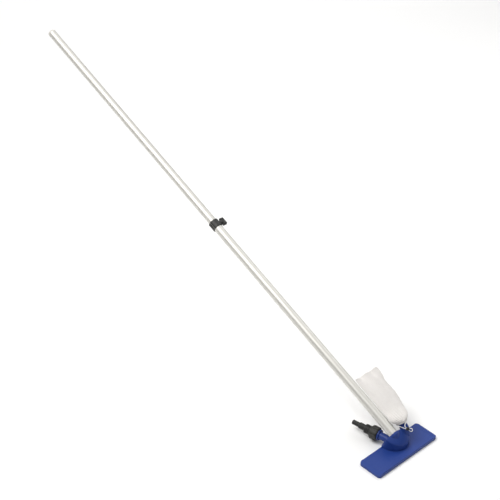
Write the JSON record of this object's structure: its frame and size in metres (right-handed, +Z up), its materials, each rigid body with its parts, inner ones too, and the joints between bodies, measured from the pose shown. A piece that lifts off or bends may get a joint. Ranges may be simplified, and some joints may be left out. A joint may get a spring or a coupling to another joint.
{
  "type": "jet vacuum head on telescopic pole",
  "caption": "Pool and spa jet vacuum: a wide low head with brushes, a domed hood with hose inlet and bag outlet, a filter bag and a telescopic pole with a clamp.",
  "frame": {"origin": "middle of the head's underside, on the surface it rests on", "axes": "+X along the head, +Y backwards, the way the pole leans, +Z up"},
  "size_m": [0.265, 1.7929, 0.8386],
  "materials": {
    "blue_plastic": "moulded polypropylene, soft gloss",
    "black_plastic": "moulded nylon, fine texture",
    "grey_plastic": "moulded nylon",
    "pale_plastic": "moulded plastic, satin",
    "button_plastic": "moulded plastic, satin",
    "aluminium": "anodised, satin",
    "steel": "stainless",
    "brass": "turned",
    "rubber": "soft rubber",
    "bristle": "dense soft nylon bristles",
    "bag_fabric": "fine woven mesh",
    "cord": "braided nylon cord"
  },
  "bodies": {
    "head": {"head_shell": "blue_plastic", "front_brush_holder": "blue_plastic", "rear_brush_holder": "blue_plastic", "front_bristles": "bristle", "rear_bristles": "bristle", "holder_screws": "steel", "cowl": "blue_plastic", "cowl_gasket": "rubber", "cowl_screws": "steel", "jet_manifold": "blue_plastic", "jet_nozzles": "brass", "inlet_washer": "rubber", "pole_stub": "grey_plastic", "stub_pin": "steel", "snap_spring": "steel", "lower_tube": "aluminium", "clamp_collar": "black_plastic", "clamp_insert": "brass", "outlet_funnel": "blue_plastic", "bag_hem": "bag_fabric", "debris_bag": "bag_fabric", "drawstring": "cord", "cord_lock_body": "black_plastic", "cord_lock_spring": "steel"},
    "telescope": {"guide_bush": "grey_plastic"},
    "upper_pole": {"upper_tube": "aluminium", "top_cap": "pale_plastic"},
    "clamp_pad": {"clamp_pad": "grey_plastic"},
    "clamp_knob": {"clamp_knob": "black_plastic", "clamp_screw": "steel"},
    "hose_nut": {"hose_nut": "black_plastic"},
    "hose_tail": {"hose_tail": "black_plastic"},
    "snap_button": {"snap_button": "button_plastic"},
    "cord_lock_plunger": {"cord_lock_plunger": "black_plastic"}
  },
  "joints": [
    {"name": "telescope_slide", "type": "slide", "parent": "head", "child": "telescope", "axis": [0, 0.9121, 0.4099], "range_m": [-0.69, 0]},
    {"name": "upper_pole_turn", "type": "hinge", "parent": "telescope", "child": "upper_pole", "pos_m": [0, 1.21126, 0.5866], "axis": [0, 0.9121, 0.4099], "continuous": true},
    {"name": "clamp_pad_slide", "type": "slide", "parent": "head", "child": "clamp_pad", "axis": [1, 0, 0], "range_m": [0, 0.0021]},
    {"name": "clamp_knob_turn", "type": "hinge", "parent": "clamp_pad", "child": "clamp_knob", "pos_m": [0, 0.85097, 0.42468], "axis": [1, 0, 0], "range_deg": [0, 720]},
    {"name": "hose_nut_turn", "type": "hinge", "parent": "head", "child": "hose_nut", "pos_m": [-0.0064, 0.0358, 0.0265], "axis": [-0.1633, 0.9866, 0], "continuous": true},
    {"name": "hose_tail_swivel", "type": "hinge", "parent": "head", "child": "hose_tail", "pos_m": [-0.0064, 0.0358, 0.0265], "axis": [-0.1633, 0.9866, 0], "continuous": true},
    {"name": "snap_button_press", "type": "slide", "parent": "head", "child": "snap_button", "axis": [-1, 0, 0], "range_m": [0, 0.0038], "stiffness_N_per_m": 500, "springref_m": -0.002, "deforming": ["snap_spring"]},
    {"name": "cord_lock_press", "type": "slide", "parent": "head", "child": "cord_lock_plunger", "axis": [0.3156, 0.7052, -0.6349], "range_m": [0, 0.0022], "stiffness_N_per_m": 400, "springref_m": -0.001, "deforming": ["cord_lock_spring", "drawstring"]}
  ],
  "couplings": [
    {"joint": "clamp_pad_slide", "follows": "clamp_knob_turn", "m_per_rad": 0.00015915}
  ]
}
